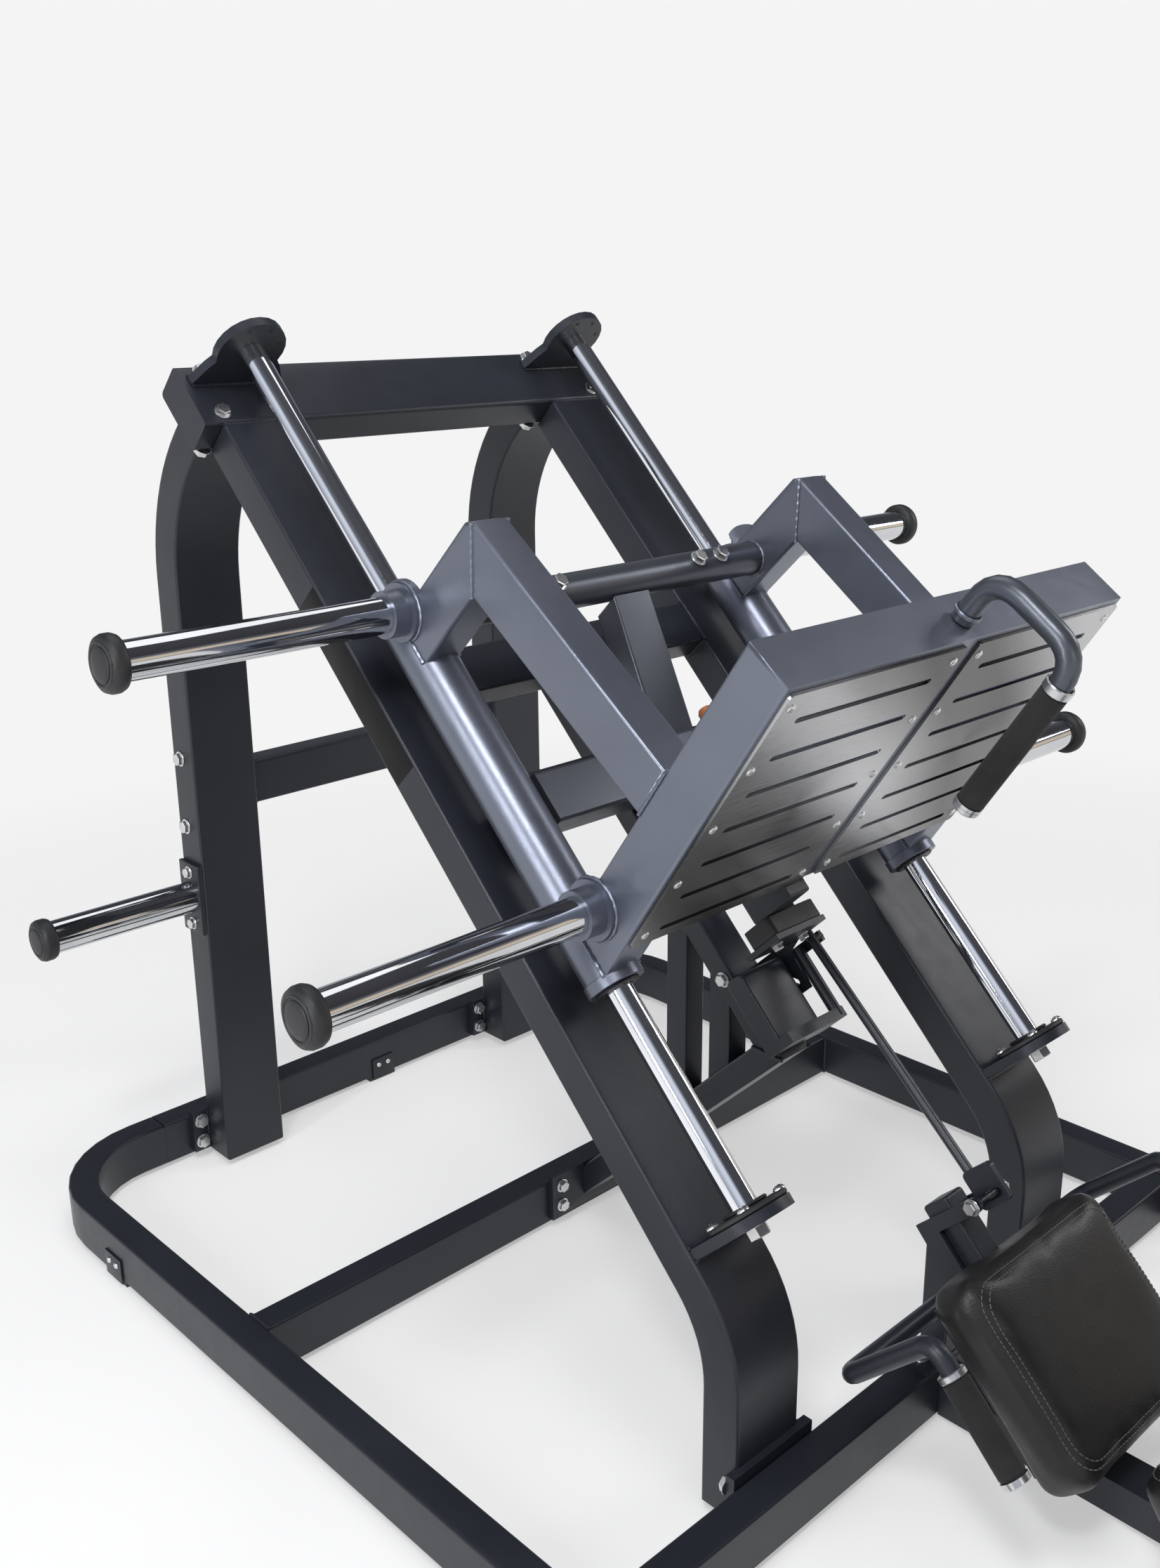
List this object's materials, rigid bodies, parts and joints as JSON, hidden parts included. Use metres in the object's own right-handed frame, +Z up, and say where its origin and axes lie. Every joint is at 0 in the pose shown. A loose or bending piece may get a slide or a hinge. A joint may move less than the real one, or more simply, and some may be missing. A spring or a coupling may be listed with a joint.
{
  "type": "leg press machine",
  "caption": "Plate-loaded inclined leg press: a foot plate sled on two guide rods above a tube frame, with a seat, a reclining back pad and a release handle",
  "frame": {"origin": "centre of the bounding box in plan, on the floor", "axes": "+Z up; +Y from the seat towards the tall uprights; +X to the right when looking along +Y"},
  "size_m": [1.576, 2.343, 1.4489],
  "materials": {
    "frame_paint": "satin fine-texture powder coat",
    "sled_paint": "metallic gunmetal gloss",
    "chrome": "polished",
    "tread": "brushed",
    "rubber": "matte",
    "foam": "matte foam",
    "vinyl": "satin grained vinyl"
  },
  "bodies": {
    "frame": {"base_rail_left": "frame_paint", "base_rail_right": "frame_paint", "centre_base_beam": "frame_paint", "foot_back_centre": "rubber", "foot_front_left": "rubber", "foot_front_right": "rubber", "foot_rear_left": "rubber", "foot_rear_right": "rubber", "front_base_bar": "frame_paint", "front_base_crossbar": "frame_paint", "guide_rod_left": "chrome", "guide_rod_right": "chrome", "mid_base_crossbar": "frame_paint", "rail_crossmember_lower": "frame_paint", "rail_crossmember_upper": "frame_paint", "rail_left": "frame_paint", "rail_right": "frame_paint", "rear_base_bar": "frame_paint", "rod_bracket_left": "frame_paint", "rod_bracket_right": "frame_paint", "seat_frame": "frame_paint", "seat_pad": "vinyl", "stop_frame": "frame_paint", "stop_housing": "frame_paint", "storage_cap_left": "rubber", "storage_cap_right": "rubber", "storage_peg_left": "chrome", "storage_peg_right": "chrome", "top_crossbar": "frame_paint", "upright_left": "frame_paint", "upright_right": "frame_paint", "upright_tie_bar": "frame_paint"},
    "sled": {"foot_handle": "sled_paint", "foot_handle_grip": "foam", "foot_plate_frame": "sled_paint", "horn_cap_lower_left": "rubber", "horn_cap_lower_right": "rubber", "horn_cap_upper_left": "rubber", "horn_cap_upper_right": "rubber", "horn_lower_left": "chrome", "horn_lower_right": "chrome", "horn_upper_left": "chrome", "horn_upper_right": "chrome", "sled_centre_strut": "sled_paint", "sled_cross_tube": "sled_paint", "sled_rear_crossbar": "sled_paint", "sled_side_left": "sled_paint", "sled_side_right": "sled_paint", "sled_stop_bar": "frame_paint", "sleeve_left": "sled_paint", "sleeve_right": "sled_paint", "tread_plate_left": "tread", "tread_plate_right": "tread"},
    "stop_catch": {"stop_arm": "frame_paint", "stop_pad": "rubber"},
    "release_linkage_rod": {"release_rod": "frame_paint"},
    "release_handle": {"release_shaft": "frame_paint"},
    "backrest": {"back_frame": "frame_paint", "back_pad": "vinyl"},
    "pop_pin_body": {"pop_pin": "chrome"}
  },
  "joints": [
    {"name": "sled_slide", "type": "slide", "parent": "frame", "child": "sled", "axis": [0, 0.7009, 0.7133], "range_m": [0, 0.44]},
    {"name": "release_turn", "type": "hinge", "parent": "frame", "child": "release_handle", "pos_m": [0, -0.21794, 0.22258], "axis": [1, 0, 0], "range_deg": [0, 20]},
    {"name": "release_rod_slide", "type": "slide", "parent": "frame", "child": "release_linkage_rod", "axis": [0, -0.7009, -0.7133], "range_m": [0, 0.0376]},
    {"name": "stop_catch_slide", "type": "slide", "parent": "frame", "child": "stop_catch", "axis": [0, 0.7133, -0.7009], "range_m": [0, 0.0376]},
    {"name": "back_recline", "type": "hinge", "parent": "frame", "child": "backrest", "pos_m": [0, -0.57955, 0.0976], "axis": [-1, 0, 0], "range_deg": [0, 30]},
    {"name": "pop_pin_pull", "type": "slide", "parent": "frame", "child": "pop_pin_body", "axis": [1, 0, 0], "range_m": [0, 0.012], "stiffness_N_per_m": 600}
  ],
  "couplings": [
    {"joint": "release_rod_slide", "follows": "release_turn", "m_per_rad": 0.10743},
    {"joint": "stop_catch_slide", "follows": "release_turn", "m_per_rad": 0.10743}
  ]
}
